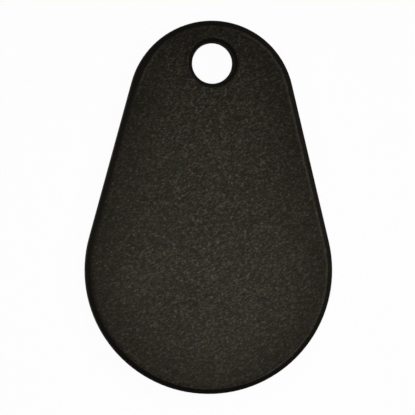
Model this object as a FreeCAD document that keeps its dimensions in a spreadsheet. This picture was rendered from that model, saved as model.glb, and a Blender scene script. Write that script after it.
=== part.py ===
import FreeCAD, Part
import math
import os

import Sketcher
from FreeCAD import Vector

# Pear-shaped contactless key tag.
# Two moulded half shells are welded face to face along a tongue and groove. A through hole in the narrow end
# takes a split ring. The wide end holds a flat air-cored antenna coil and, inside the coil, a small chip board.
# The tag lies on its back on the plane Z = 0. +Y points from the wide end to the ring hole.
# The origin is below the middle of the outline. All sizes are in millimetres.

doc = FreeCAD.newDocument("key_tag")
sheet = doc.addObject("Spreadsheet::Sheet", "dims")

SIZES = [
    # outline and section of the closed case
    ("belly_radius", 15.0, "radius of the wide end at the seam"),
    ("head_radius", 10.0, "radius of the narrow end at the seam"),
    ("centre_distance", 20.25, "from the centre of the wide end to that of the narrow end"),
    ("case_thickness", 4.0, "back face to front face"),
    ("draft_angle", 1.5, "draft of the side wall, in degrees"),
    ("face_edge_round", 0.9, "rounding from the front face into the side wall"),
    ("back_edge_bevel", 0.5, "bevel from the back face into the side wall"),
    ("seam_bevel", 0.1, "bevel of each shell at the seam"),
    # ring hole
    ("ring_hole_radius", 2.45, "bore for the split ring, where it is narrowest"),
    ("ring_hole_land", 0.6, "straight part of the bore, half in each shell"),
    ("ring_hole_flare", 8.0, "draft of the bore from there to both faces, in degrees"),
    ("ring_hole_margin", 2.73, "plastic between the bore and the end of the tag"),
    ("face_rim_round", 0.7, "rounding from the front face into the bore"),
    ("back_rim_bevel", 0.3, "bevel from the back face into the bore"),
    # walls of both shells
    ("face_wall", 0.9, "front shell behind its face"),
    ("back_wall", 0.9, "rear shell behind its face"),
    ("side_wall", 1.6, "side wall at the seam"),
    ("boss_wall", 1.3, "tube round the bore"),
    ("partition_wall", 0.8, "wall between the coil chamber and the neck"),
    ("spine_width", 0.8, "rib along the neck"),
    # tongue and groove, in the middle of their walls
    ("tongue_width", 0.5, "tongue of the side wall and of the tube round the bore"),
    ("tongue_height", 0.5, "both tongues, as welded"),
    ("tongue_clearance", 0.05, "each side of both tongues"),
    # antenna coil and what seats it
    ("coil_margin", 1.2, "chamber wall to coil"),
    ("coil_build", 2.2, "coil, inside to outside"),
    ("coil_height", 1.2, "coil, along its axis"),
    ("hub_fit", 0.15, "coil to hub ring"),
    ("hub_wall", 0.7, "hub ring"),
    ("hub_drop", 0.15, "top of the hub ring below the top of the coil"),
    ("gate_clearance", 1.3, "opening of the hub ring beside each coil lead"),
    ("rib_count", 6, "ribs of the front shell that keep the coil down"),
    ("rib_width", 0.8, "each of these ribs"),
    ("rib_overhang", 0.3, "rib beyond the coil at both ends"),
    ("rib_gap", 0.1, "coil to the ribs"),
    # chip board
    ("board_offset", 2.5, "centre of the board from the centre of the coil"),
    ("board_width", 4.0, "board along Y"),
    ("board_thickness", 0.4, "board"),
    ("board_margin", 0.25, "pad to the end of the board"),
    ("board_clearance", 0.1, "board to its cradle"),
    ("board_proud", 0.05, "top of the board above its cradle"),
    ("cradle_wall", 0.5, "frame round the board"),
    ("adhesive_thickness", 0.1, "film under the board"),
    ("adhesive_inset", 0.3, "film inside the edge of the board"),
    ("pad_width", 1.6, "contact pad along Y"),
    ("pad_thickness", 0.05, "contact pad"),
    ("pad_border", 0.15, "solder to the outer end of the pad"),
    ("pad_gap", 0.5, "chip to the inner end of the pad"),
    ("chip_side", 1.0, "square silicon chip"),
    ("chip_thickness", 0.2, "silicon chip"),
    ("bond_radius", 0.02, "bond wire"),
    ("bond_rise", 0.12, "bond wire above the chip"),
    ("bond_inset", 0.2, "bond wire from the edge of the chip and of the pad"),
    ("dome_border", 0.5, "resin beyond the bond wires"),
    ("dome_cover", 0.48, "resin above the bond wires"),
    # coil leads
    ("lead_radius", 0.08, "enamelled copper wire"),
    ("lead_spread", 1.2, "each lead from the middle where it leaves the coil"),
    ("lead_lift", 0.04, "wire above the pad or the coil"),
    ("lead_run", 1.6, "each run of a lead beside the coil"),
    ("lead_landing", 0.6, "outside of the coil to where the outer lead leaves its top"),
    ("solder_radius", 0.6, "solder joint"),
    ("solder_cover", 0.16, "solder above the wire"),
    ("solder_gap", 0.2, "resin dome to solder joint"),
]


def fill_sheet():
    for row, (name, number, note) in enumerate(SIZES, 1):
        sheet.set(f"A{row}", note)
        sheet.set(f"B{row}", str(number))
        sheet.setAlias(f"B{row}", name)
    doc.recompute()


# Places and sizes that follow from the sheet, as expressions over its cells.
HALF_LENGTH = "(dims.centre_distance + dims.belly_radius + dims.head_radius) / 2"
BELLY_Y = f"(dims.belly_radius - {HALF_LENGTH})"
HOLE_Y = f"({HALF_LENGTH} - dims.ring_hole_margin - dims.ring_hole_radius)"
SEAM = "(dims.case_thickness / 2)"
FLOOR = "dims.back_wall"
CEILING = "(dims.case_thickness - dims.face_wall)"
BOSS_RADIUS = "(dims.ring_hole_radius + dims.boss_wall)"
MOUTH_DEPTH = f"({SEAM} - dims.ring_hole_land / 2)"
MOUTH_RADIUS = f"(dims.ring_hole_radius + {MOUTH_DEPTH} * tan(dims.ring_hole_flare))"
CHAMBER_RADIUS = "(dims.belly_radius - dims.side_wall)"
PARTITION_RADIUS = f"({CHAMBER_RADIUS} + dims.partition_wall)"
TONGUE_INSET = "(dims.side_wall - dims.tongue_width) / 2"
ROUND_TONGUE_RADIUS = "dims.ring_hole_radius + (dims.boss_wall - dims.tongue_width) / 2"
COIL_OUTER = f"({CHAMBER_RADIUS} - dims.coil_margin)"
COIL_INNER = f"({COIL_OUTER} - dims.coil_build)"
COIL_TOP = f"({FLOOR} + dims.coil_height)"
HUB_OUTER = f"({COIL_INNER} - dims.hub_fit)"
HUB_INNER = f"({HUB_OUTER} - dims.hub_wall)"
HUB_HEIGHT = "(dims.coil_height - dims.hub_drop)"
RIB_BOTTOM = f"({COIL_TOP} + dims.rib_gap)"
GATE_HALF = "(dims.lead_spread + dims.lead_radius + dims.gate_clearance)"
BOARD_Y = f"({BELLY_Y} + dims.board_offset)"
BOARD_BOTTOM = f"({FLOOR} + dims.adhesive_thickness)"
BOARD_TOP = f"({BOARD_BOTTOM} + dims.board_thickness)"
PAD_TOP = f"({BOARD_TOP} + dims.pad_thickness)"
CHIP_TOP = f"({BOARD_TOP} + dims.chip_thickness)"
PAD_INNER = "(dims.chip_side / 2 + dims.pad_gap)"
DOME_RADIUS = f"({PAD_INNER} + dims.bond_inset + dims.dome_border)"
DOME_HEIGHT = "(dims.chip_thickness + dims.bond_rise + dims.dome_cover)"
SOLDER_X = f"({DOME_RADIUS} + dims.solder_gap + dims.solder_radius)"
SOLDER_HEIGHT = "(dims.lead_lift + 2 * dims.lead_radius + dims.solder_cover)"
PAD_OUTER = f"({SOLDER_X} + dims.solder_radius + dims.pad_border)"
BOARD_HALF = f"({PAD_OUTER} + dims.board_margin)"

ARC_SHARE = 0.45  # part of a straight run that an arc of a wire may take at each end
SAME = 1e-6  # lengths and volumes closer than this are equal
WIRE_SIDES = 8  # of the section of a thin wire
MITRED = 1  # joints of a wire where its path has a corner
WIRE_TOLERANCE = 0.01  # share of its volume by which a wire may miss that of a round bar


def value(expression):
    return float(sheet.evalExpression(expression))


# Sketches

def new_body(label):
    body = doc.addObject("PartDesign::Body", label)
    body.Label = label
    return body


def origin_plane(body, role):
    return next(o for o in body.Origin.OriginFeatures if o.Role == role)


def new_sketch(body, name, height):
    """A sketch parallel to the XY plane at a height given by an expression."""
    sketch = body.newObject("Sketcher::SketchObject", name)
    sketch.AttachmentSupport = [(origin_plane(body, "XY_Plane"), "")]
    sketch.MapMode = "FlatFace"
    sketch.setExpression("AttachmentOffset.Base.z", height)
    return sketch


def bind(sketch, kind, *arguments):
    """Adds a dimension whose last argument is an expression."""
    *geometry, expression = arguments
    constraint = Sketcher.Constraint(kind, *geometry, value(expression))
    index = sketch.addConstraint(constraint)
    sketch.setExpression(f"Constraints[{index}]", expression)


def place(sketch, geometry, point, x, y):
    """Ties a point of the sketch to X and Y, each given by an expression."""
    for kind, expression, axis in (("DistanceX", x, -2), ("DistanceY", y, -1)):
        distance = value(expression)
        if abs(distance) < SAME:
            sketch.addConstraint(Sketcher.Constraint("PointOnObject", geometry, point, axis))
        elif distance > 0:
            bind(sketch, kind, -1, 1, geometry, point, expression)
        else:
            bind(sketch, kind, geometry, point, -1, 1, f"-({expression})")


def draw_circle(sketch, x, y, radius):
    centre = Vector(value(x), value(y), 0)
    circle = sketch.addGeometry(Part.Circle(centre, Vector(0, 0, 1), value(radius)))
    place(sketch, circle, 3, x, y)
    bind(sketch, "Radius", circle, radius)


def draw_ring(sketch, x, y, inner, outer):
    draw_circle(sketch, x, y, inner)
    draw_circle(sketch, x, y, outer)


def draw_rectangle(sketch, left, bottom, right, top):
    x = (value(left), value(right))
    y = (value(bottom), value(top))
    corners = [Vector(x[0], y[0], 0), Vector(x[1], y[0], 0), Vector(x[1], y[1], 0), Vector(x[0], y[1], 0)]
    first = len(sketch.Geometry)
    for i in range(4):
        sketch.addGeometry(Part.LineSegment(corners[i], corners[(i + 1) % 4]))
    for i in range(4):
        follower = first + (i + 1) % 4
        sketch.addConstraint(Sketcher.Constraint("Coincident", first + i, 2, follower, 1))
        sketch.addConstraint(Sketcher.Constraint(("Horizontal", "Vertical")[i % 2], first + i))
    place(sketch, first, 1, left, bottom)
    place(sketch, first + 2, 1, right, top)


def draw_pear(sketch, inset="0"):
    """The outline of the case, moved inwards: two arcs joined by the lines that touch both."""
    wide = f"dims.belly_radius - ({inset})"
    narrow = f"dims.head_radius - ({inset})"
    lean = math.asin((value(wide) - value(narrow)) / value("dims.centre_distance"))
    belly = Vector(0, value(BELLY_Y), 0)
    head = belly + Vector(0, value("dims.centre_distance"), 0)
    right = Vector(math.cos(lean), math.sin(lean), 0)
    left = Vector(-right.x, right.y, 0)
    upwards = Vector(0, 0, 1)
    first = len(sketch.Geometry)
    wide_circle = Part.Circle(belly, upwards, value(wide))
    narrow_circle = Part.Circle(head, upwards, value(narrow))
    sketch.addGeometry(Part.ArcOfCircle(wide_circle, math.pi - lean, 2 * math.pi + lean))
    sketch.addGeometry(Part.LineSegment(belly + right * value(wide), head + right * value(narrow)))
    sketch.addGeometry(Part.ArcOfCircle(narrow_circle, lean, math.pi - lean))
    sketch.addGeometry(Part.LineSegment(head + left * value(narrow), belly + left * value(wide)))
    for i in range(4):
        follower = first + (i + 1) % 4
        sketch.addConstraint(Sketcher.Constraint("Tangent", first + i, 2, follower, 1))
    place(sketch, first, 3, "0", BELLY_Y)
    sketch.addConstraint(Sketcher.Constraint("PointOnObject", first + 2, 3, -2))
    bind(sketch, "DistanceY", first, 3, first + 2, 3, "dims.centre_distance")
    bind(sketch, "Radius", first, wide)
    bind(sketch, "Radius", first + 2, narrow)


# Features

def volume(body):
    doc.recompute()
    return body.Shape.Volume


def pad(body, sketch, name, length, reverse=False, taper=None):
    before = volume(body) if body.Tip else 0
    feature = body.newObject("PartDesign::Pad", name)
    feature.Profile = sketch
    feature.Reversed = reverse
    feature.setExpression("Length", length)
    if taper:
        feature.setExpression("TaperAngle", taper)
    if volume(body) <= before + SAME:
        raise RuntimeError(f"{name} adds nothing to {body.Label}")
    return feature


def pocket(body, sketch, name, length=None, reverse=False, taper=None):
    """Cuts towards -Z, or towards +Z if reversed. Without a length it cuts through everything both ways."""
    before = volume(body)
    feature = body.newObject("PartDesign::Pocket", name)
    feature.Profile = sketch
    feature.Reversed = reverse
    if length:
        feature.setExpression("Length", length)
    else:
        feature.Type = "ThroughAll"
        feature.Midplane = True
    if taper:
        feature.setExpression("TaperAngle", taper)
    if volume(body) >= before - SAME:
        raise RuntimeError(f"{name} cuts nothing from {body.Label}")
    return feature


def edges_at(body, height, radius=None):
    """Names of the edges that lie at a height, or of the circles there that have one radius."""
    found = []
    for i, edge in enumerate(body.Shape.Edges, 1):
        box = edge.BoundBox
        level = abs(box.ZMin - height) < SAME and abs(box.ZMax - height) < SAME
        if level and radius is not None:
            level = isinstance(edge.Curve, Part.Circle) and abs(edge.Curve.Radius - radius) < SAME
        if level:
            found.append(f"Edge{i}")
    if not found:
        raise RuntimeError(f"{body.Label} has no such edge at height {height:.3f}")
    return found


def dress_edges(body, kind, name, edges, size_name, expression):
    """Rounds or bevels edges of the last feature of a body."""
    base = body.Tip
    feature = body.newObject(f"PartDesign::{kind}", name)
    feature.Base = (base, edges)
    feature.setExpression(size_name, expression)
    doc.recompute()


def round_edges(body, name, edges, radius):
    dress_edges(body, "Fillet", name, edges, "Radius", radius)


def bevel_edges(body, name, edges, width):
    dress_edges(body, "Chamfer", name, edges, "Size", width)


def build_half(label, upwards, wall, finish_edge):
    """One half of the case up to its inner walls: drafted outer form, cavity, boss, partition, spine."""
    depth = f"({SEAM} - {wall})"
    body = new_body(label)
    outline = new_sketch(body, f"{label}_outline", SEAM)
    draw_pear(outline)
    pad(body, outline, f"{label}_form", SEAM, reverse=not upwards, taper="-dims.draft_angle")
    finish_edge(body)
    bevel_edges(body, f"{label}_seam", edges_at(body, value(SEAM)), "dims.seam_bevel")
    cavity = new_sketch(body, f"{label}_cavity_outline", SEAM)
    draw_pear(cavity, "dims.side_wall")
    pocket(body, cavity, f"{label}_cavity", depth, reverse=upwards, taper="-dims.draft_angle")
    boss = new_sketch(body, f"{label}_boss_outline", SEAM)
    draw_circle(boss, "0", HOLE_Y, BOSS_RADIUS)
    pad(body, boss, f"{label}_boss", depth, reverse=not upwards)
    partition = new_sketch(body, f"{label}_partition_outline", SEAM)
    draw_ring(partition, "0", BELLY_Y, CHAMBER_RADIUS, PARTITION_RADIUS)
    pad(body, partition, f"{label}_partition", depth, reverse=not upwards)
    spine = new_sketch(body, f"{label}_spine_outline", SEAM)
    partition_middle = f"{BELLY_Y} + ({CHAMBER_RADIUS} + {PARTITION_RADIUS}) / 2"
    draw_rectangle(spine, "-dims.spine_width / 2", partition_middle, "dims.spine_width / 2", HOLE_Y)
    pad(body, spine, f"{label}_spine", depth, reverse=not upwards)
    return body


def bore_half(body, upwards):
    """The ring hole through one half, flared towards the face. Returns the edge of its outer rim."""
    bore = new_sketch(body, f"{body.Label}_bore_outline", SEAM)
    draw_circle(bore, "0", HOLE_Y, "dims.ring_hole_radius")
    pocket(body, bore, f"{body.Label}_bore")
    face_height = "dims.case_thickness" if upwards else "0"
    land_end = f"{face_height} - {MOUTH_DEPTH}" if upwards else MOUTH_DEPTH
    mouth = new_sketch(body, f"{body.Label}_mouth_outline", land_end)
    draw_circle(mouth, "0", HOLE_Y, "dims.ring_hole_radius")
    pocket(body, mouth, f"{body.Label}_mouth", MOUTH_DEPTH, reverse=upwards, taper="dims.ring_hole_flare")
    return edges_at(body, value(face_height), value(MOUTH_RADIUS))


def build_rear_shell():
    """Back half: floor with hub ring and board cradle, and both tongues."""

    def finish_edge(body):
        bevel_edges(body, "back_edge", edges_at(body, 0), "dims.back_edge_bevel")

    body = build_half("rear_shell", False, "dims.back_wall", finish_edge)
    hub = new_sketch(body, "hub_outline", FLOOR)
    draw_ring(hub, "0", BELLY_Y, HUB_INNER, HUB_OUTER)
    pad(body, hub, "hub", HUB_HEIGHT)
    gate = new_sketch(body, "lead_gate_outline", f"{FLOOR} + {HUB_HEIGHT}")
    gate_bottom = f"{BELLY_Y} + {HUB_INNER} - {GATE_HALF}"
    draw_rectangle(gate, f"-{GATE_HALF}", gate_bottom, GATE_HALF, f"{BELLY_Y} + {HUB_OUTER}")
    pocket(body, gate, "lead_gate", HUB_HEIGHT)
    cradle = new_sketch(body, "cradle_outline", FLOOR)
    for reach in ("dims.board_clearance", "(dims.board_clearance + dims.cradle_wall)"):
        side = f"({BOARD_HALF} + {reach})"
        half_width = f"(dims.board_width / 2 + {reach})"
        draw_rectangle(cradle, f"-{side}", f"{BOARD_Y} - {half_width}", side, f"{BOARD_Y} + {half_width}")
    pad(body, cradle, "cradle", f"{BOARD_TOP} - dims.board_proud - {FLOOR}")
    tongue = new_sketch(body, "tongue_outline", SEAM)
    draw_pear(tongue, TONGUE_INSET)
    draw_pear(tongue, f"{TONGUE_INSET} + dims.tongue_width")
    pad(body, tongue, "tongue", "dims.tongue_height")
    round_tongue = new_sketch(body, "round_tongue_outline", SEAM)
    draw_ring(round_tongue, "0", HOLE_Y, ROUND_TONGUE_RADIUS, f"{ROUND_TONGUE_RADIUS} + dims.tongue_width")
    pad(body, round_tongue, "round_tongue", "dims.tongue_height")
    bevel_edges(body, "back_rim", bore_half(body, False), "dims.back_rim_bevel")
    return body


def build_front_shell():
    """Front half: ceiling with the ribs that keep the coil down, and both grooves."""

    def finish_edge(body):
        edges = edges_at(body, value("dims.case_thickness"))
        round_edges(body, "face_edge", edges, "dims.face_edge_round")

    body = build_half("front_shell", True, "dims.face_wall", finish_edge)
    rib = new_sketch(body, "rib_outline", RIB_BOTTOM)
    rib.setExpression("AttachmentOffset.Base.y", BELLY_Y)
    half = "dims.rib_width / 2"
    inner, outer = f"{COIL_INNER} - dims.rib_overhang", f"{COIL_OUTER} + dims.rib_overhang"
    draw_rectangle(rib, inner, f"-{half}", outer, half)
    first_rib = pad(body, rib, "rib", f"{CEILING} - {RIB_BOTTOM}")
    ribs = body.newObject("PartDesign::PolarPattern", "ribs")
    ribs.Originals = [first_rib]
    ribs.Axis = (rib, ["N_Axis"])
    ribs.Angle = 360
    ribs.setExpression("Occurrences", "dims.rib_count")
    body.Tip = ribs
    groove = new_sketch(body, "groove_outline", SEAM)
    draw_pear(groove, f"{TONGUE_INSET} - dims.tongue_clearance")
    draw_pear(groove, f"{TONGUE_INSET} + dims.tongue_width + dims.tongue_clearance")
    pocket(body, groove, "groove", "dims.tongue_height", reverse=True)
    round_groove = new_sketch(body, "round_groove_outline", SEAM)
    inner = f"{ROUND_TONGUE_RADIUS} - dims.tongue_clearance"
    draw_ring(round_groove, "0", HOLE_Y, inner, f"{inner} + dims.tongue_width + 2 * dims.tongue_clearance")
    pocket(body, round_groove, "round_groove", "dims.tongue_height", reverse=True)
    rim = bore_half(body, True)
    round_edges(body, "face_rim", rim, "dims.face_rim_round")
    return body


def build_coil():
    """Air-cored winding of bonded enamelled wire, seated on the chamber floor round the hub."""
    body = new_body("antenna_coil")
    ring = new_sketch(body, "coil_outline", FLOOR)
    draw_ring(ring, "0", BELLY_Y, COIL_INNER, COIL_OUTER)
    pad(body, ring, "winding", "dims.coil_height")
    return body


# Chip board

def build_box(label, x, y, z, length, width, height):
    """A block whose lowest corner and three sides are expressions."""
    block = doc.addObject("Part::Box", label)
    block.Label = label
    for name, expression in (("Length", length), ("Width", width), ("Height", height)):
        block.setExpression(name, expression)
    for axis, expression in (("x", x), ("y", y), ("z", z)):
        block.setExpression(f"Placement.Base.{axis}", expression)
    return block


def build_dome(label, x, z, radius, height):
    """A cap of a sphere that stands on a plane of the board."""
    body = new_body(label)
    sketch = body.newObject("Sketcher::SketchObject", f"{label}_section")
    sketch.AttachmentSupport = [(origin_plane(body, "XZ_Plane"), "")]
    sketch.MapMode = "FlatFace"
    rim, top = value(radius), value(height)
    ball = (rim ** 2 + top ** 2) / (2 * top)
    start = math.atan2(ball - top, rim)
    cap = Part.Circle(Vector(0, top - ball, 0), Vector(0, 0, 1), ball)
    sketch.addGeometry(Part.ArcOfCircle(cap, start, math.pi / 2))
    sketch.addGeometry(Part.LineSegment(Vector(0, top, 0), Vector(0, 0, 0)))
    sketch.addGeometry(Part.LineSegment(Vector(0, 0, 0), Vector(rim, 0, 0)))
    for i, end, follower, begin in ((0, 2, 1, 1), (1, 2, 2, 1), (2, 2, 0, 1)):
        sketch.addConstraint(Sketcher.Constraint("Coincident", i, end, follower, begin))
    sketch.addConstraint(Sketcher.Constraint("Coincident", 1, 2, -1, 1))
    sketch.addConstraint(Sketcher.Constraint("PointOnObject", 0, 3, -2))
    sketch.addConstraint(Sketcher.Constraint("PointOnObject", 1, 1, -2))
    sketch.addConstraint(Sketcher.Constraint("PointOnObject", 2, 2, -1))
    bind(sketch, "DistanceX", -1, 1, 2, 2, radius)
    bind(sketch, "DistanceY", -1, 1, 1, 1, height)
    doc.recompute()
    turn = body.newObject("PartDesign::Revolution", f"{label}_cap")
    turn.Profile = sketch
    turn.ReferenceAxis = (sketch, ["V_Axis"])
    turn.Angle = 360
    for axis, expression in (("x", x), ("y", BOARD_Y), ("z", z)):
        body.setExpression(f"Placement.Base.{axis}", expression)
    doc.recompute()
    return body


def rounded_path(points):
    """Straight runs joined by arcs that touch them."""
    edges = []
    at = points[0]
    for before, corner, after in zip(points, points[1:], points[2:]):
        back, ahead = before - corner, after - corner
        reach = ARC_SHARE * min(back.Length, ahead.Length)
        back.normalize()
        ahead.normalize()
        half_angle = back.getAngle(ahead) / 2
        middle = back + ahead
        middle.normalize()
        radius = reach * math.tan(half_angle)
        start, end = corner + back * reach, corner + ahead * reach
        crown = corner + middle * (reach / math.cos(half_angle) - radius)
        edges.append(Part.LineSegment(at, start).toShape())
        edges.append(Part.Arc(start, crown, end).toShape())
        at = end
    edges.append(Part.LineSegment(at, points[-1]).toShape())
    return Part.Wire(edges)


def wire_section(path, radius):
    """A regular polygon as large as the round wire, because wire this thin needs no finer section."""
    start = path.OrderedEdges[0]
    centre, run = start.valueAt(start.FirstParameter), start.tangentAt(start.FirstParameter)
    across = run.cross(Vector(1, 0, 0)).normalize()
    upright = run.cross(across).normalize()
    turn = 2 * math.pi / WIRE_SIDES
    reach = radius * math.sqrt(turn / math.sin(turn))
    corners = []
    for i in range(WIRE_SIDES + 1):
        angle = (i + 0.5) * turn
        corners.append(centre + across * (reach * math.cos(angle)) + upright * (reach * math.sin(angle)))
    return Part.makePolygon(corners)


def build_wire(label, paths, radius):
    """Wires along their centre lines, as one object."""
    tubes = []
    for path in paths:
        tube = Part.BRepOffsetAPI.MakePipeShell(path)
        tube.setTransitionMode(MITRED)
        tube.add(wire_section(path, radius))
        tube.build()
        tube.makeSolid()
        tubes.append(tube.shape())
        if abs(tubes[-1].Volume - math.pi * radius ** 2 * path.Length) > WIRE_TOLERANCE * tubes[-1].Volume:
            raise RuntimeError(f"{label} isn't as thick as its wire")
    wire = doc.addObject("Part::Feature", label)
    wire.Label = label
    wire.Shape = tubes[0] if len(tubes) == 1 else Part.Compound(tubes)
    return wire


def cut(label, base, *tools):
    """base without the tools, which stay objects of their own."""
    tool = tools[0]
    if len(tools) > 1:
        tool = doc.addObject("Part::MultiFuse", f"{label}_tools")
        tool.Shapes = list(tools)
    result = doc.addObject("Part::Cut", label)
    result.Label = label
    result.Base = base
    result.Tool = tool
    return result


def lead_route(side, finish):
    """Centre line of one lead: out of the inside of the coil, or over its top from the outermost turns."""
    belly, board = value(BELLY_Y), value(BOARD_Y)
    run = value("dims.lead_run")
    radius = value("dims.lead_radius")
    x_coil = side * value("dims.lead_spread")
    x_pad = side * value(SOLDER_X)
    inner = math.sqrt(value(COIL_INNER) ** 2 - x_coil ** 2)
    level = value(f"{FLOOR} + dims.coil_height / 2")
    landing = value(PAD_TOP) + value("dims.lead_lift") + radius
    if finish:
        top = value(COIL_TOP)
        over = top + radius + value("dims.lead_lift")
        y_out = belly + value(COIL_OUTER) - value("dims.lead_landing")
        start = [
            Vector(x_coil, y_out, top),
            Vector(x_coil, y_out - radius, over + radius),
            Vector(x_coil, belly + inner, over),
            Vector(x_coil, belly + inner - run, landing),
        ]
    else:
        start = [
            Vector(x_coil, belly + inner + radius, level),
            Vector(x_coil, belly + inner - run, level),
        ]
    fan = Vector(x_pad, belly + inner - 2 * run, landing)
    return start + [fan, Vector(x_pad, board, landing)]


def bond_loop(side):
    """Centre line from the top of the chip to the inner end of a pad."""
    chip = side * value("dims.chip_side / 2 - dims.bond_inset")
    pad_end = side * value(f"{PAD_INNER} + dims.bond_inset")
    board, top = value(BOARD_Y), value(f"{CHIP_TOP} + dims.bond_rise")
    return Part.makePolygon([
        Vector(chip, board, value(CHIP_TOP)),
        Vector(chip, board, top),
        Vector(pad_end, board, top),
        Vector(pad_end, board, value(PAD_TOP)),
    ])


def build_chip_board():
    """Board on its film, with chip, bond wires, contact pads and resin dome."""
    width = "dims.board_width"
    board = build_box(
        "chip_board", f"-{BOARD_HALF}", f"{BOARD_Y} - {width} / 2", BOARD_BOTTOM,
        f"2 * {BOARD_HALF}", width, "dims.board_thickness",
    )
    film = build_box(
        "board_adhesive", f"dims.adhesive_inset - {BOARD_HALF}",
        f"{BOARD_Y} - {width} / 2 + dims.adhesive_inset", FLOOR,
        f"2 * ({BOARD_HALF} - dims.adhesive_inset)", f"{width} - 2 * dims.adhesive_inset",
        "dims.adhesive_thickness",
    )
    side = "dims.chip_side"
    chip = build_box(
        "chip", f"-{side} / 2", f"{BOARD_Y} - {side} / 2", BOARD_TOP, side, side, "dims.chip_thickness",
    )
    pad_length = f"{PAD_OUTER} - {PAD_INNER}"
    pads = [
        build_box(
            label, x, f"{BOARD_Y} - dims.pad_width / 2", BOARD_TOP,
            pad_length, "dims.pad_width", "dims.pad_thickness",
        )
        for label, x in (("contact_pad_start", f"-{PAD_OUTER}"), ("contact_pad_finish", PAD_INNER))
    ]
    bonds = build_wire("bond_wires", [bond_loop(-1), bond_loop(1)], value("dims.bond_radius"))
    dome = build_dome("dome_form", "0", BOARD_TOP, DOME_RADIUS, DOME_HEIGHT)
    resin = cut("resin_dome", dome, chip, *pads, bonds)
    return [board, film, chip, *pads, bonds, resin]


def build_leads(coil):
    """The two ends of the winding, and the solder joint of each."""
    made = []
    for name, side, finish in (("start", -1, False), ("finish", 1, True)):
        path = rounded_path(lead_route(side, finish))
        tube = build_wire(f"lead_{name}_form", [path], value("dims.lead_radius"))
        lead = cut(f"coil_lead_{name}", tube, coil)
        x = SOLDER_X if side > 0 else f"-{SOLDER_X}"
        blob = build_dome(f"solder_{name}_form", x, PAD_TOP, "dims.solder_radius", SOLDER_HEIGHT)
        made += [lead, cut(f"solder_joint_{name}", blob, tube)]
    return made


def check(parts):
    doc.recompute()
    for item in doc.Objects:
        if {"Invalid", "Error"} & set(item.State):
            raise RuntimeError(f"{item.Label} failed: {item.State}")
    for part in parts:
        shape = part.Shape
        if shape.isNull() or not shape.isValid() or not shape.Solids:
            raise RuntimeError(f"{part.Label} has no valid solid")
        print(f"{part.Label:22} {len(shape.Solids)} solid(s) {shape.Volume:10.4f} mm3")


fill_sheet()
coil = build_coil()
parts = [build_rear_shell(), build_front_shell(), coil, *build_chip_board(), *build_leads(coil)]
check(parts)
os.makedirs("parts", exist_ok=True)
for part in parts:
    part.Shape.exportStep(f"parts/{part.Label}.step")
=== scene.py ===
import math

import bpy
from mathutils import Matrix, Vector


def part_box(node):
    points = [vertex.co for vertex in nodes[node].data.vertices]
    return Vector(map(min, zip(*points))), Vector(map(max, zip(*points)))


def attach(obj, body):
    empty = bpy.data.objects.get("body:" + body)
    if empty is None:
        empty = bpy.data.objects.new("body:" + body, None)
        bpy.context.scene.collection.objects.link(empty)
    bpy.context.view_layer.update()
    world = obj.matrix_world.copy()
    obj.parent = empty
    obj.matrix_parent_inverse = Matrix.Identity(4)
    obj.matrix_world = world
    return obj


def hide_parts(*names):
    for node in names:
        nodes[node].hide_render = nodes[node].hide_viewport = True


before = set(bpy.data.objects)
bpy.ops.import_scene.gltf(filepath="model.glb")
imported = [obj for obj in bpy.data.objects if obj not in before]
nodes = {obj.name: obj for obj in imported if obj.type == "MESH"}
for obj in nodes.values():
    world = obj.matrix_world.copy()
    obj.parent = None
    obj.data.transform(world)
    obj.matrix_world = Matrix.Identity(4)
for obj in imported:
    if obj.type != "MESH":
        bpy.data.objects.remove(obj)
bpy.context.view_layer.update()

# ---- Rear shell ----
# The back half of the case, moulded in black ABS. It carries the coil's hub and the board's cradle.
# Its outer face has the fine spark-eroded texture of the mould; the wall, the bore and the inside
# came off polished steel and are smooth.

MM = 0.001

# the case's outline and ring hole, as in the solids
WIDE_CENTRE = -7.625 * MM
WIDE_RADIUS = 15.0 * MM
NARROW_RADIUS = 10.0 * MM
CENTRE_DISTANCE = 20.25 * MM
HOLE_CENTRE = (0.0, 17.445 * MM)

# where the texture ends: near both faces, and a little inside the outline, more so at a burr
TEXTURE_TOP = 3.928 * MM
TEXTURE_BOTTOM = 0.03 * MM
TEXTURE_FADE = 0.012 * MM
WANDER_SCALE = 1400
WANDER_HEIGHT = 0.03 * MM
BORDER_DEPTH = 0.575 * MM
BORDER_FADE = 0.036 * MM
BORDER_WANDER = 2.5
BORDER_LEAN_UP = 0.0038
BORDER_LEAN_RIGHT = 0.003
BURR = (-8.3 * MM, 16.8 * MM, 4.0 * MM)
BURR_REACH = (1.0 * MM, 4.4 * MM)
BURR_WIDTH = 0.18 * MM

# the texture and the polish: scales per metre, and how much each one shows
GRAINS = 6600
GRAIN_STRETCH = 2.3
GRAIN_TURN = math.radians(29)
GRAIN_DEPTH = 0.034 * MM
# painted light and shade of the grain in the face's tone: valleys darker, peaks lighter
GRAIN_SHADE_LEVEL = -0.25
GRAIN_SHADE_CONTRAST = (5.5, 6.8)
# painted glints: light grey specks that stand in for the sparkle of the grain
GLINTS = 5200
GLINT_SHARE = 0.09
GLINT_STRENGTH = (0.45, 1.0)
CRISP_DEPTH = (1.5 * MM, 10.5 * MM)
CLOUDS = 160
CLOUD_TONE = (0.93, 1.07)
TINTS = 2600
TINT_RANGE = (0.35, 0.65)
POLISH = 700
POLISH_HEIGHT = 0.04

# painted light and shade: darker towards the face's border and on the left of the hole, lighter on the
# flanks and the wall of the smooth black; from, to, and the tone at either end
FACE_BORDER_SHADE = (0.5 * MM, 6.5 * MM, 0.66, 1.10)
HOLE_LEFT_SHADE = (-2.6 * MM, -0.6 * MM, 0.70, 1.0)
HOLE_SHADE_REACH = (3.3 * MM, 4.2 * MM)
SMOOTH_LIGHT_MIDDLE = 3.0 * MM
SMOOTH_LIGHT_REACH = (8.0 * MM, 25.0 * MM)
WALL_TOP = (2.8 * MM, 3.1 * MM)
WALL_PAINTED_LIGHT = 1.25
PAINTED_LIGHT_BLOTCHES = (0.8, 1.2)
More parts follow.
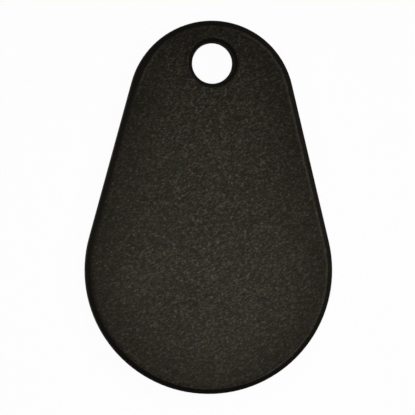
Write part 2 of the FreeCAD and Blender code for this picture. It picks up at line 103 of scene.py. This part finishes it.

# the painted highlight: a light line just inside the texture's border
LIP_HIGHLIGHT_RISE = (BORDER_DEPTH + 0.02 * MM, BORDER_DEPTH + 0.14 * MM)
LIP_HIGHLIGHT_FALL = (BORDER_DEPTH + 0.18 * MM, BORDER_DEPTH + 0.42 * MM)
LIP_HIGHLIGHT_AT_RIGHT = (2.0 * MM, 6.5 * MM, 0.12, 0.66)
LIP_HIGHLIGHT_AT_WIDE_END = (-20.0 * MM, -11.0 * MM, 0.38, 0.0)
LIP_HIGHLIGHT_AT_BURR = 0.6
LIP_HIGHLIGHT_GRAIN = (0.35, 0.65, 0.55, 1.45)
LIP_HIGHLIGHT_TONE = 2.1

DEEP_BLACK = (0.0050, 0.0046, 0.0040)
# a painted lit copy of the smooth black, for its flanks and its wall
PAINTED_LIT_BLACK = (0.0142, 0.0124, 0.0098)
WARM_BLACK = (0.0268, 0.0203, 0.0110)
COOL_BLACK = (0.0190, 0.0214, 0.0190)
# the grey of the painted glints
GLINT_GREY = (0.083, 0.076, 0.057)
ROUGH_FACE = (0.50, 0.44)
ROUGH_WALL = (0.92, 1.0)
CASE_GLOSS = 0.11
CASE_GLOSS_TINT = (1.0, 0.90, 0.70, 1.0)


def start_finish(name):
    """A new finish with its shader, ready for the nodes that give the surface its detail."""
    finish = bpy.data.materials.new(name)
    finish.use_nodes = True
    return finish, finish.node_tree, finish.node_tree.nodes["Principled BSDF"]


def node(tree, kind, values=(), **settings):
    """One node, with its settings and the plain values of its inputs by name or index."""
    made = tree.nodes.new(kind if kind.startswith("GeometryNode") else "ShaderNode" + kind)
    for key, value in settings.items():
        setattr(made, key, value)
    for key, value in dict(values).items():
        made.inputs[key].default_value = value
    return made


def feed(tree, socket, value):
    """Gives an input another node's output, or a plain number or colour."""
    if isinstance(value, bpy.types.NodeSocket):
        tree.links.new(value, socket)
    else:
        socket.default_value = value


def object_place(tree):
    """The point on the piece in the tag's own frame, in metres."""
    return node(tree, "TexCoord").outputs["Object"]


def along_axes(tree, place):
    """The three coordinates of a point."""
    split = node(tree, "SeparateXYZ")
    feed(tree, split.inputs[0], place)
    return split.outputs["X"], split.outputs["Y"], split.outputs["Z"]


def calculate(tree, operation, first, second=0.0, third=0.0, clamp=False):
    """A Math node on sockets or plain numbers."""
    made = node(tree, "Math", operation=operation, use_clamp=clamp)
    for socket, value in zip(made.inputs, (first, second, third)):
        feed(tree, socket, value)
    return made.outputs[0]


def product(tree, first, *others):
    """All of these multiplied."""
    for other in others:
        first = calculate(tree, "MULTIPLY", first, other)
    return first


def noise(tree, place, scale, detail=2.0, roughness=0.5, stretch=None, turn=0.0):
    """A noise value from 0 to 1, its scale in grains per metre, stretched along a turned direction."""
    made = node(tree, "TexNoise", {"Scale": scale, "Detail": detail, "Roughness": roughness})
    if stretch:
        settings = {"Scale": (stretch, 1, 1), "Rotation": (0, 0, turn)}
        mapping = node(tree, "Mapping", settings, vector_type="TEXTURE")
        feed(tree, mapping.inputs["Vector"], place)
        place = mapping.outputs["Vector"]
    feed(tree, made.inputs["Vector"], place)
    return made.outputs["Fac"]


def cell_tone(tree, place, scale, **settings):
    """One random tone for each cell of a pattern of cells."""
    cells = node(tree, "TexVoronoi", {"Scale": scale}, **settings)
    feed(tree, cells.inputs["Vector"], place)
    split = node(tree, "SeparateColor")
    feed(tree, split.inputs[0], cells.outputs["Color"])
    return split.outputs[0]


def spread(tree, value, low, high, to_low=0.0, to_high=1.0, smooth=False):
    """A Map Range node, held inside its ends."""
    made = node(tree, "MapRange", {1: low, 2: high, 3: to_low, 4: to_high})
    made.interpolation_type = "SMOOTHSTEP" if smooth else "LINEAR"
    feed(tree, made.inputs[0], value)
    return made.outputs[0]


def from_noise(tree, value, to_low=0.0, to_high=1.0):
    """The range that a noise mostly keeps to, spread over two values."""
    return spread(tree, value, 0.3, 0.7, to_low, to_high)


def blend(tree, share, first, second):
    """A number between two."""
    made = node(tree, "Mix", data_type="FLOAT")
    for socket, value in zip((made.inputs[0], made.inputs[2], made.inputs[3]), (share, first, second)):
        feed(tree, socket, value)
    return made.outputs[0]


def blend_colour(tree, share, first, second):
    """A colour between two, or past the second where the share is above 1."""
    made = node(tree, "Mix", data_type="RGBA", clamp_factor=False)
    feed(tree, made.inputs[0], share)
    for socket, value in ((made.inputs[6], first), (made.inputs[7], second)):
        feed(tree, socket, value if isinstance(value, bpy.types.NodeSocket) else (*value, 1.0))
    return made.outputs[2]


def relief(tree, shader, height, depth, strength=1.0):
    """Bump of a depth in metres from a height of 0 to 1."""
    bump = node(tree, "Bump", {"Strength": strength, "Distance": depth})
    feed(tree, bump.inputs["Height"], height)
    feed(tree, shader.inputs["Normal"], bump.outputs["Normal"])


def wear_finish(piece, finish):
    """Puts a finish on a CAD node in place of its plain one."""
    for slot in piece.material_slots:
        slot.material = finish


def depth_from_outline(tree, along_x, along_y):
    """How far a point of the face is inside the tag's outline: two arcs and the lines that touch both."""
    slope = math.tan(math.asin((WIDE_RADIUS - NARROW_RADIUS) / CENTRE_DISTANCE))
    beside = calculate(tree, "ABSOLUTE", along_x)
    above = calculate(tree, "SUBTRACT", along_y, WIDE_CENTRE)
    lowered = calculate(tree, "MULTIPLY_ADD", beside, -slope, above)
    share = calculate(tree, "DIVIDE", lowered, CENTRE_DISTANCE, clamp=True)
    across = calculate(tree, "MULTIPLY_ADD", share, -CENTRE_DISTANCE, above)
    reach = calculate(tree, "MULTIPLY_ADD", share, NARROW_RADIUS - WIDE_RADIUS, WIDE_RADIUS)
    squares = calculate(tree, "MULTIPLY_ADD", beside, beside, product(tree, across, across))
    return calculate(tree, "SUBTRACT", reach, calculate(tree, "SQRT", squares))


def distance_from_hole(tree, along_x, along_y):
    """How far a point is from the axis of the ring hole."""
    beside = calculate(tree, "SUBTRACT", along_x, HOLE_CENTRE[0])
    above = calculate(tree, "SUBTRACT", along_y, HOLE_CENTRE[1])
    squares = calculate(tree, "MULTIPLY_ADD", beside, beside, product(tree, above, above))
    return calculate(tree, "SQRT", squares)


case_plastic, tree, shader = start_finish("case_plastic_spark_eroded")
place = object_place(tree)
along_x, along_y, along_z = along_axes(tree, place)
depth = depth_from_outline(tree, along_x, along_y)

# where the texture is: both faces have it, the rounding, the wall and the bore don't
wander = noise(tree, place, WANDER_SCALE, 3.0, 0.6)
wander = from_noise(tree, wander, -WANDER_HEIGHT / 2, WANDER_HEIGHT / 2)
level = calculate(tree, "ADD", along_z, wander)
from_burr = node(tree, "VectorMath", {1: BURR}, operation="DISTANCE")
feed(tree, from_burr.inputs[0], place)
at_burr = spread(tree, from_burr.outputs["Value"], *BURR_REACH, 1.0, 0.0, smooth=True)
inside = calculate(tree, "MULTIPLY_ADD", wander, BORDER_WANDER, depth)
inside = calculate(tree, "MULTIPLY_ADD", along_y, -BORDER_LEAN_UP, inside)
inside = calculate(tree, "MULTIPLY_ADD", along_x, -BORDER_LEAN_RIGHT, inside)
inside = calculate(tree, "MULTIPLY_ADD", at_burr, -BURR_WIDTH, inside)
front = product(
    tree,
    spread(tree, level, TEXTURE_TOP - TEXTURE_FADE, TEXTURE_TOP + TEXTURE_FADE, smooth=True),
    spread(tree, inside, BORDER_DEPTH - BORDER_FADE, BORDER_DEPTH + BORDER_FADE, smooth=True),
)
back_low, back_high = TEXTURE_BOTTOM - TEXTURE_FADE, TEXTURE_BOTTOM + TEXTURE_FADE
back = spread(tree, level, back_low, back_high, 1.0, 0.0, smooth=True)
textured = calculate(tree, "MAXIMUM", front, back)

# its grain, the painted glints in it, and the faint waves of the polish
grain = noise(tree, place, GRAINS, 2.0, 0.6, GRAIN_STRETCH, GRAIN_TURN)
polish = noise(tree, place, POLISH, 4.0, 0.55)
clouds = noise(tree, place, CLOUDS, 4.0, 0.6)
painted_glint = spread(tree, cell_tone(tree, place, GLINTS), 1.0 - GLINT_SHARE, 1.0)
painted_glint = product(tree, painted_glint, textured, spread(tree, depth, *CRISP_DEPTH, *GLINT_STRENGTH))
surface = calculate(tree, "MULTIPLY_ADD", polish, POLISH_HEIGHT, product(tree, grain, textured))
relief(tree, shader, surface, GRAIN_DEPTH)

# the tone of the face: painted light and shade of the grain, calmer towards its border, and painted shade,
# darker towards its border and on the left of the hole
# painted light and shade of the grain: its valleys darker and its peaks lighter, calmer towards the border
shade_contrast = spread(tree, depth, *CRISP_DEPTH, *GRAIN_SHADE_CONTRAST)
grain_light_and_shade = calculate(tree, "SUBTRACT", grain, 0.5)
grain_light_and_shade = calculate(tree, "MULTIPLY_ADD", grain_light_and_shade, shade_contrast, GRAIN_SHADE_LEVEL)
grain_light_and_shade = calculate(tree, "EXPONENT", grain_light_and_shade)
# painted shade on the left of the hole, within a short reach of its rim
hole_shade_reach = spread(tree, distance_from_hole(tree, along_x, along_y), *HOLE_SHADE_REACH)
face_tone = product(
    tree,
    grain_light_and_shade,
    from_noise(tree, clouds, *CLOUD_TONE),
    spread(tree, depth, *FACE_BORDER_SHADE, smooth=True),
    blend(tree, hole_shade_reach, spread(tree, along_x, *HOLE_LEFT_SHADE), 1.0),
)

# the painted highlight line: on the right, at the burr and at the wide end
lip_highlight_share = spread(tree, along_x, *LIP_HIGHLIGHT_AT_RIGHT)
lip_highlight_share = calculate(tree, "MAXIMUM", lip_highlight_share, product(tree, at_burr, LIP_HIGHLIGHT_AT_BURR))
lip_highlight_share = calculate(tree, "MAXIMUM", lip_highlight_share, spread(tree, along_y, *LIP_HIGHLIGHT_AT_WIDE_END))
lip_highlight = product(
    tree,
    spread(tree, inside, *LIP_HIGHLIGHT_RISE),
    spread(tree, inside, *LIP_HIGHLIGHT_FALL, 1.0, 0.0, smooth=True),
    lip_highlight_share,
)
lip_highlight = calculate(tree, "MULTIPLY", lip_highlight, spread(tree, grain, *LIP_HIGHLIGHT_GRAIN), clamp=True)

# the face in two tints with its painted glints, and the smooth black, with painted light that makes it
# lighter on the flanks and on the wall
tints = spread(tree, noise(tree, place, TINTS, 3.0, 0.7), *TINT_RANGE)
face_colour = node(tree, "VectorMath", operation="SCALE")
feed(tree, face_colour.inputs[0], blend_colour(tree, tints, WARM_BLACK, COOL_BLACK))
feed(tree, face_colour.inputs["Scale"], blend(tree, lip_highlight, face_tone, LIP_HIGHLIGHT_TONE))
# painted light on the smooth black: lighter on the flanks, fading towards both ends, and on the wall below
# its top, in blotches
from_light_middle = calculate(tree, "ABSOLUTE", calculate(tree, "SUBTRACT", along_y, SMOOTH_LIGHT_MIDDLE))
smooth_painted_light = spread(tree, from_light_middle, *SMOOTH_LIGHT_REACH, 1.0, 0.0)
smooth_painted_light = calculate(tree, "MAXIMUM", smooth_painted_light, spread(tree, along_z, *WALL_TOP, WALL_PAINTED_LIGHT, 0.0, smooth=True))
smooth_painted_light = product(tree, smooth_painted_light, from_noise(tree, polish, *PAINTED_LIGHT_BLOTCHES))
smooth_black = blend_colour(tree, smooth_painted_light, DEEP_BLACK, PAINTED_LIT_BLACK)
coloured = blend_colour(tree, textured, smooth_black, face_colour.outputs[0])
feed(tree, shader.inputs["Base Color"], blend_colour(tree, painted_glint, coloured, GLINT_GREY))
rough_wall = from_noise(tree, polish, *ROUGH_WALL)
rough_face = from_noise(tree, clouds, *ROUGH_FACE)
feed(tree, shader.inputs["Roughness"], blend(tree, textured, rough_wall, rough_face))
shader.inputs["Specular IOR Level"].default_value = CASE_GLOSS
shader.inputs["Specular Tint"].default_value = CASE_GLOSS_TINT
wear_finish(nodes["rear_shell"], case_plastic)

# ---- Adhesive film ----
# A soft acrylic film, cut a little smaller than the board, that fixes it to the floor of its cradle.
# It is slightly cloudy and yellowish, with small trapped bubbles.

FILM_YELLOW = (0.66, 0.61, 0.42)
FILM_CLOUDY = (0.72, 0.70, 0.58)
FILM_ROUGH = (0.28, 0.5)
FILM_CLOUDS = 900
FILM_BUBBLES = 2600
BUBBLE_EDGE = 0.25
BUBBLE_HEIGHT = 0.01 * MM

film_finish, tree, shader = start_finish("adhesive_film_acrylic")
place = object_place(tree)
cloudiness = noise(tree, place, FILM_CLOUDS, 4.0, 0.6)
feed(tree, shader.inputs["Base Color"], blend_colour(tree, cloudiness, FILM_YELLOW, FILM_CLOUDY))
bubbles = node(tree, "TexVoronoi", {"Scale": FILM_BUBBLES})
feed(tree, bubbles.inputs["Vector"], place)
relief(tree, shader, spread(tree, bubbles.outputs["Distance"], 0.0, BUBBLE_EDGE), BUBBLE_HEIGHT, 0.4)
feed(tree, shader.inputs["Roughness"], from_noise(tree, cloudiness, *FILM_ROUGH))
wear_finish(nodes["board_adhesive"], film_finish)

# ---- Chip board ----
# A small board of glass-epoxy laminate under green solder mask, sawn from a panel. The mask shows the
# weave of the glass cloth below it, and the sawn sides show the pale laminate itself.

MASK_GREEN = (0.010, 0.085, 0.030)
MASK_LIGHT = (0.016, 0.125, 0.046)
LAMINATE = (0.30, 0.32, 0.14)
LAMINATE_GLASS = (0.46, 0.47, 0.27)
LAMINATE_ROUGH = 0.7
MASK_ROUGH = 0.28
GLASS_PITCH = 0.30 * MM
GLASS_HEIGHT = 0.006 * MM
PLY = 0.10 * MM
SAW_GRAIN = 5200
MASK_EDGE = (0.03 * MM, 0.02 * MM)

board_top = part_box("chip_board")[1].z
board_finish, tree, shader = start_finish("board_laminate_green")
place = object_place(tree)
along_x, along_y, along_z = along_axes(tree, place)
warp = calculate(tree, "SINE", product(tree, along_x, 2 * math.pi / GLASS_PITCH))
weft = calculate(tree, "SINE", product(tree, along_y, 2 * math.pi / GLASS_PITCH))
woven = spread(tree, product(tree, warp, weft), -1.0, 1.0)
masked = spread(tree, along_z, *(board_top - below for below in MASK_EDGE))
mask_colour = blend_colour(tree, woven, MASK_GREEN, MASK_LIGHT)
plies = calculate(tree, "SINE", product(tree, along_z, 2 * math.pi / PLY))
sawn = product(tree, spread(tree, plies, -1.0, 1.0), noise(tree, place, SAW_GRAIN, 3.0, 0.6))
side_colour = blend_colour(tree, sawn, LAMINATE, LAMINATE_GLASS)
feed(tree, shader.inputs["Base Color"], blend_colour(tree, masked, side_colour, mask_colour))
feed(tree, shader.inputs["Roughness"], spread(tree, masked, 0.0, 1.0, LAMINATE_ROUGH, MASK_ROUGH))
relief(tree, shader, woven, GLASS_HEIGHT, 0.5)
wear_finish(nodes["chip_board"], board_finish)

# ---- Contact pads ----
# Two pads of copper foil on the board, nickel plated and then flash gilded, with the fine grain of
# the plating and the light scratches of the test probes.

GILT = (0.76, 0.50, 0.18)
GILT_DULL = (0.60, 0.37, 0.13)
GILT_ROUGH = (0.22, 0.38)
PROBE_SCRATCHES = 9000
SCRATCH_STRETCH = 3.0
SCRATCH_TURN = math.radians(15)
METAL_RELIEF = 0.002 * MM


def metal_finish(name, bright, dull, rough, grains, stretch=None, turn=0.0, depth=METAL_RELIEF):
    """A bare metal whose tone, roughness and surface vary with one grain."""
    finish, tree, shader = start_finish(name)
    grain = noise(tree, object_place(tree), grains, 4.0, 0.6, stretch, turn)
    feed(tree, shader.inputs["Base Color"], blend_colour(tree, from_noise(tree, grain), bright, dull))
    feed(tree, shader.inputs["Roughness"], from_noise(tree, grain, *rough))
    shader.inputs["Metallic"].default_value = 1.0
    relief(tree, shader, grain, depth, 0.5)
    return finish


pad_finish = metal_finish(
    "gold_plate_pads", GILT, GILT_DULL, GILT_ROUGH, PROBE_SCRATCHES, SCRATCH_STRETCH, SCRATCH_TURN
)
wear_finish(nodes["contact_pad_start"], pad_finish)
wear_finish(nodes["contact_pad_finish"], pad_finish)

# ---- Chip ----
# A die of polished silicon, sawn from a wafer and fixed to the board. It shows the blocks of the
# circuit as faint fields of slightly different grey and violet, and very fine saw marks.

SILICON = (0.085, 0.095, 0.125)
SILICON_BLOCK = (0.13, 0.115, 0.17)
SILICON_ROUGH = (0.16, 0.26)
CIRCUIT_BLOCKS = 5200
SAW_MARKS = 14000
BLOCK_HEIGHT = 0.002 * MM

chip_finish, tree, shader = start_finish("silicon_die")
place = object_place(tree)
blocks = cell_tone(tree, place, CIRCUIT_BLOCKS, distance="CHEBYCHEV")
feed(tree, shader.inputs["Base Color"], blend_colour(tree, blocks, SILICON, SILICON_BLOCK))
saw_marks = noise(tree, place, SAW_MARKS, 3.0, 0.6)
feed(tree, shader.inputs["Roughness"], from_noise(tree, saw_marks, *SILICON_ROUGH))
relief(tree, shader, blocks, BLOCK_HEIGHT, 0.5)
wear_finish(nodes["chip"], chip_finish)

# ---- Bond wires ----
# Two drawn gold wires that loop from the chip's edge to the contact pads, welded at both ends.
# The gold is bright and soft, with faint drawing lines.

GOLD = (0.85, 0.58, 0.22)
GOLD_DULL = (0.72, 0.46, 0.16)
GOLD_ROUGH = (0.16, 0.28)
DRAWING_LINES = 26000

bond_finish = metal_finish("gold_wire_drawn", GOLD, GOLD_DULL, GOLD_ROUGH, DRAWING_LINES)
wear_finish(nodes["bond_wires"], bond_finish)

# ---- Resin dome ----
# A drop of black epoxy over the chip and its wires, cured in place. It is glossy, with the slight
# waves and the small pits that a cured drop has.

RESIN_BLACK = (0.010, 0.010, 0.011)
RESIN_DUST = (0.030, 0.030, 0.032)
RESIN_ROUGH = (0.12, 0.24)
RESIN_WAVES = 1100
RESIN_PITS = 7000
PIT_SHARE = 0.15
DUSTY_PITS = (0.55, 0.75)
RESIN_RELIEF = 0.02 * MM

resin_finish, tree, shader = start_finish("chip_resin_cured")
place = object_place(tree)
waves = noise(tree, place, RESIN_WAVES, 3.0, 0.5)
pits = noise(tree, place, RESIN_PITS, 2.0, 0.5)
dust = spread(tree, pits, *DUSTY_PITS)
feed(tree, shader.inputs["Base Color"], blend_colour(tree, dust, RESIN_BLACK, RESIN_DUST))
feed(tree, shader.inputs["Roughness"], from_noise(tree, waves, *RESIN_ROUGH))
relief(tree, shader, calculate(tree, "MULTIPLY_ADD", pits, PIT_SHARE, waves), RESIN_RELIEF, 0.5)
wear_finish(nodes["resin_dome"], resin_finish)

# ---- Antenna coil ----
# About a hundred turns of enamelled copper wire, wound on a mandrel and bonded by the hot varnish of
# the wire itself, so the coil is free-standing. The outer turns show as ridges all round its section.

WIRE_RADIUS = 0.08 * MM
WIRE_SIDES = 8
TURN_POINTS = 96
COIL_INNER = 10.0 * MM
SECTION_CORNER = 0.28 * MM
CORNER_POINTS = 6
COPPER = (0.46, 0.13, 0.038)
COPPER_DARK = (0.30, 0.075, 0.022)
COPPER_ROUGH = (0.22, 0.34)
COPPER_TINTS = 420
COPPER_DRAWN = 9000
ENAMEL = 0.8
ENAMEL_ROUGH = 0.08
ENAMEL_TINT = (0.95, 0.62, 0.36, 1.0)

copper_finish, tree, shader = start_finish("enamelled_copper_wire")
place = object_place(tree)
tint = noise(tree, place, COPPER_TINTS, 3.0, 0.6)
drawn = noise(tree, place, COPPER_DRAWN, 2.0, 0.5)
copper = blend_colour(tree, from_noise(tree, tint), COPPER, COPPER_DARK)
feed(tree, shader.inputs["Base Color"], copper)
feed(tree, shader.inputs["Roughness"], from_noise(tree, drawn, *COPPER_ROUGH))
shader.inputs["Metallic"].default_value = 1.0
shader.inputs["Coat Weight"].default_value = ENAMEL
shader.inputs["Coat Roughness"].default_value = ENAMEL_ROUGH
shader.inputs["Coat Tint"].default_value = ENAMEL_TINT
relief(tree, shader, drawn, METAL_RELIEF, 0.4)

coil_low, coil_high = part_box("antenna_coil")
coil_middle = [(low + high) / 2 for low, high in zip(coil_low, coil_high)]
coil_outer = (coil_high.x - coil_low.x) / 2
section_width = coil_outer - COIL_INNER - 2 * WIRE_RADIUS
section_height = coil_high.z - coil_low.z - 2 * WIRE_RADIUS
corner_saving = (8 - 2 * math.pi) * SECTION_CORNER
section_length = 2 * (section_width + section_height) - corner_saving
surface_turns = int(section_length / (2 * WIRE_RADIUS))


def winding_tree():
    """The winding's outer layer: one wire that goes round the coil while it creeps round its section."""
    tree = bpy.data.node_groups.new("antenna_winding", "GeometryNodeTree")
    sockets = tree.interface
    sockets.new_socket("Geometry", in_out="OUTPUT", socket_type="NodeSocketGeometry")
    for name, kind in (
        ("Turns", "NodeSocketInt"),
        ("Points In Turn", "NodeSocketInt"),
        ("Mean Radius", "NodeSocketFloat"),
        ("Section Width", "NodeSocketFloat"),
        ("Section Height", "NodeSocketFloat"),
        ("Section Corner", "NodeSocketFloat"),
        ("Wire Radius", "NodeSocketFloat"),
        ("Centre", "NodeSocketVector"),
        ("Finish", "NodeSocketMaterial"),
    ):
        sockets.new_socket(name, in_out="INPUT", socket_type=kind)
    given = tree.nodes.new("NodeGroupInput").outputs
    result = tree.nodes.new("NodeGroupOutput")
    link = tree.links.new

    section = node(tree, "GeometryNodeCurvePrimitiveQuadrilateral")
    link(given["Section Width"], section.inputs["Width"])
    link(given["Section Height"], section.inputs["Height"])
    rounded = node(tree, "GeometryNodeFilletCurve", {"Count": CORNER_POINTS}, mode="POLY")
    link(section.outputs[0], rounded.inputs["Curve"])
    link(given["Section Corner"], rounded.inputs["Radius"])
    count = calculate(tree, "MULTIPLY", given["Turns"], given["Points In Turn"])
    line = node(tree, "GeometryNodeMeshLine")
    link(count, line.inputs["Count"])
    wire = node(tree, "GeometryNodeMeshToCurve")
    link(line.outputs[0], wire.inputs["Mesh"])
    closed = node(tree, "GeometryNodeSetSplineCyclic", {"Cyclic": True})
    link(wire.outputs[0], closed.inputs[0])
    index = node(tree, "GeometryNodeInputIndex").outputs[0]
    share = calculate(tree, "DIVIDE", index, count)
    around = node(tree, "GeometryNodeSampleCurve", mode="FACTOR")
    link(rounded.outputs[0], around.inputs["Curves"])
    link(share, around.inputs["Factor"])
    spot = node(tree, "SeparateXYZ")
    link(around.outputs["Position"], spot.inputs[0])
    radius = calculate(tree, "ADD", given["Mean Radius"], spot.outputs["X"])
    turns_so_far = calculate(tree, "DIVIDE", index, given["Points In Turn"])
    angle = calculate(tree, "MULTIPLY", turns_so_far, 2 * math.pi)
    turned = node(tree, "CombineXYZ")
    link(calculate(tree, "MULTIPLY", radius, calculate(tree, "COSINE", angle)), turned.inputs["X"])
    link(calculate(tree, "MULTIPLY", radius, calculate(tree, "SINE", angle)), turned.inputs["Y"])
    link(spot.outputs["Y"], turned.inputs["Z"])
    moved = node(tree, "VectorMath", operation="ADD")
    link(turned.outputs[0], moved.inputs[0])
    link(given["Centre"], moved.inputs[1])
    wound = node(tree, "GeometryNodeSetPosition")
    link(closed.outputs[0], wound.inputs["Geometry"])
    link(moved.outputs[0], wound.inputs["Position"])
    sides = {"Resolution": WIRE_SIDES}
    round_wire = node(tree, "GeometryNodeCurvePrimitiveCircle", sides, mode="RADIUS")
    link(given["Wire Radius"], round_wire.inputs["Radius"])
    drawn_out = node(tree, "GeometryNodeCurveToMesh")
    link(wound.outputs[0], drawn_out.inputs["Curve"])
    link(round_wire.outputs[0], drawn_out.inputs["Profile Curve"])
    smooth = node(tree, "GeometryNodeSetShadeSmooth")
    link(drawn_out.outputs[0], smooth.inputs[0])
    real = node(tree, "GeometryNodeRealizeInstances")
    link(smooth.outputs[0], real.inputs[0])
    finished = node(tree, "GeometryNodeSetMaterial")
    link(real.outputs[0], finished.inputs["Geometry"])
    link(given["Finish"], finished.inputs["Material"])
    link(finished.outputs[0], result.inputs[0])
    return tree


def grown_mesh(name, tree, values):
    """Runs a tree of geometry nodes with these inputs, and keeps what it makes as a plain mesh."""
    seed = bpy.data.objects.new(name + "_seed", bpy.data.meshes.new(name + "_seed"))
    bpy.context.scene.collection.objects.link(seed)
    modifier = seed.modifiers.new(name, "NODES")
    modifier.node_group = tree
    for item in tree.interface.items_tree:
        if item.in_out == "INPUT" and item.name in values:
            modifier[item.identifier] = values[item.name]
    bpy.context.view_layer.update()
    ready = seed.evaluated_get(bpy.context.evaluated_depsgraph_get())
    mesh = bpy.data.meshes.new_from_object(ready)
    mesh.name = name
    seed.modifiers.remove(modifier)
    bpy.data.objects.remove(seed)
    piece = bpy.data.objects.new(name, mesh)
    bpy.context.scene.collection.objects.link(piece)
    return piece


winding = grown_mesh("coil_winding", winding_tree(), {
    "Turns": surface_turns,
    "Points In Turn": TURN_POINTS,
    "Mean Radius": (coil_outer + COIL_INNER) / 2,
    "Section Width": section_width,
    "Section Height": section_height,
    "Section Corner": SECTION_CORNER,
    "Wire Radius": WIRE_RADIUS,
    "Centre": coil_middle,
    "Finish": copper_finish,
})
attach(winding, "root")
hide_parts("antenna_coil")

# ---- Coil leads ----
# The two ends of the same wire. The inner one goes straight to its pad, the outer one crosses the top
# of the coil first. The enamel is stripped only under the solder.

wear_finish(nodes["coil_lead_start"], copper_finish)
wear_finish(nodes["coil_lead_finish"], copper_finish)

# ---- Solder joints ----
# A drop of tin solder over the end of each lead, drawn up by the hot iron and frozen bright, with the
# fine frosted grain of tin.

TIN = (0.70, 0.69, 0.67)
TIN_FROSTED = (0.50, 0.50, 0.49)
TIN_ROUGH = (0.18, 0.36)
TIN_GRAIN = 5200
TIN_RELIEF = 0.004 * MM

solder_finish = metal_finish("solder_tin", TIN, TIN_FROSTED, TIN_ROUGH, TIN_GRAIN, depth=TIN_RELIEF)
wear_finish(nodes["solder_joint_start"], solder_finish)
wear_finish(nodes["solder_joint_finish"], solder_finish)

# ---- Front shell ----
# The front half of the case, from the same black ABS and the same kind of mould. Its tongue enters
# the groove of the rear shell, and the two are welded ultrasonically round the rim and the bore.

wear_finish(nodes["front_shell"], case_plastic)

# ---- Table, light and camera ----
# A white table under the tag, two soft boxes close above its face, and three lamps further off to
# the right, the left and beyond the ring end, which draw the light along the rounded edge. The
# camera looks straight down, from a little to the left.

TABLE_REACH = 3.0
TABLE_CORNERS = 64
TABLE_BELOW = 0.02 * MM
TABLE_WHITE = (0.86, 0.86, 0.85)
TABLE_LIGHT = (0.90, 0.90, 0.89)
TABLE_ROUGH = 0.9
TABLE_GLOSS = 0.1
TABLE_SPECKLE = 900
GLOW_SHARE = 0.97


def white_table():
    """A wide white disc whose own glow makes it plain white, while it still takes the tag's shadow."""
    turns = [2 * math.pi * index / TABLE_CORNERS for index in range(TABLE_CORNERS)]
    corners = [(TABLE_REACH * math.cos(turn), TABLE_REACH * math.sin(turn), -TABLE_BELOW) for turn in turns]
    mesh = bpy.data.meshes.new("table")
    mesh.from_pydata(corners, [], [list(range(TABLE_CORNERS))])
    table = bpy.data.objects.new("table", mesh)
    bpy.context.scene.collection.objects.link(table)
    finish, tree, shader = start_finish("white_table_top")
    shader.inputs["Roughness"].default_value = TABLE_ROUGH
    shader.inputs["Specular IOR Level"].default_value = TABLE_GLOSS
    speckle = noise(tree, object_place(tree), TABLE_SPECKLE, 3.0, 0.5)
    feed(tree, shader.inputs["Base Color"], blend_colour(tree, speckle, TABLE_WHITE, TABLE_LIGHT))
    glow = node(tree, "Emission", {"Strength": 1.0})
    path = node(tree, "LightPath")
    seen = calculate(tree, "ADD", path.outputs["Is Camera Ray"], path.outputs["Is Glossy Ray"])
    seen = calculate(tree, "ADD", seen, path.outputs["Is Transmission Ray"], clamp=True)
    mixed = node(tree, "MixShader")
    feed(tree, mixed.inputs[0], product(tree, seen, GLOW_SHARE))
    feed(tree, mixed.inputs[1], shader.outputs[0])
    feed(tree, mixed.inputs[2], glow.outputs[0])
    feed(tree, tree.nodes["Material Output"].inputs["Surface"], mixed.outputs[0])
    mesh.materials.append(finish)


def soft_lamp(name, stand, target, width, watts, beam):
    """A round soft lamp that faces a point."""
    lamp = bpy.data.lights.new(name, "AREA")
    lamp.shape = "DISK"
    lamp.size = width
    lamp.energy = watts
    lamp.spread = math.radians(beam)
    holder = bpy.data.objects.new(name, lamp)
    bpy.context.scene.collection.objects.link(holder)
    holder.location = stand
    aim = Vector(target) - Vector(stand)
    holder.rotation_euler = aim.to_track_quat("-Z", "Y").to_euler()


white_table()

# where each lamp stands, what it faces, its width, its power in watts and its beam in degrees
FACE_MIDDLE = (0.0, 0.0, 0.004)
soft_lamp("key_soft_box", (0.003, -0.013, 0.064), (0.001, -0.014, 0.004), 0.03, 0.0042, 100)
soft_lamp("upper_soft_box", (0.003, 0.002, 0.064), (0.001, 0.001, 0.004), 0.03, 0.0012, 100)
soft_lamp("right_lamp", (0.20, 0.05, 0.25), FACE_MIDDLE, 0.06, 0.18, 180)
soft_lamp("left_lamp", (-0.22, 0.06, 0.25), FACE_MIDDLE, 0.10, 0.10, 180)
soft_lamp("top_lamp", (0.03, 0.22, 0.25), FACE_MIDDLE, 0.10, 0.15, 180)

AIR_WHITE = (1.0, 0.99, 0.97, 1.0)
AIR_LIGHT = 0.02

world = bpy.data.worlds.new("studio_air")
world.use_nodes = True
world.node_tree.nodes["Background"].inputs["Color"].default_value = AIR_WHITE
world.node_tree.nodes["Background"].inputs["Strength"].default_value = AIR_LIGHT
bpy.context.scene.world = world
bpy.context.scene.view_settings.view_transform = "Standard"

PICTURE_PIXELS = 415
PIXELS_PER_MM = 8.248
SENSOR = 36.0
CAMERA_AWAY = 0.5
CAMERA_SEES = (0.01, 20.0)
CAMERA_TILT = math.radians(4.9)
CAMERA_FROM = math.radians(-169)
PICTURE_ROLL = math.radians(1.005)
LOOKED_AT = (-0.245 * MM, -0.028 * MM, 2.0 * MM)

outward = Vector((
    math.sin(CAMERA_TILT) * math.cos(CAMERA_FROM),
    math.sin(CAMERA_TILT) * math.sin(CAMERA_FROM),
    math.cos(CAMERA_TILT),
))
picture_up = Vector((-math.sin(PICTURE_ROLL), math.cos(PICTURE_ROLL), 0.0))
picture_right = picture_up.cross(outward).normalized()
picture_up = outward.cross(picture_right)
camera = bpy.data.cameras.new("camera")
camera.sensor_width = SENSOR
camera.lens = SENSOR * CAMERA_AWAY * PIXELS_PER_MM / (PICTURE_PIXELS * MM)
camera.clip_start, camera.clip_end = CAMERA_SEES
camera_holder = bpy.data.objects.new("camera", camera)
bpy.context.scene.collection.objects.link(camera_holder)
turned = Matrix((picture_right, picture_up, outward)).transposed().to_4x4()
camera_holder.matrix_world = Matrix.Translation(Vector(LOOKED_AT) + outward * CAMERA_AWAY) @ turned
bpy.context.scene.camera = camera_holder
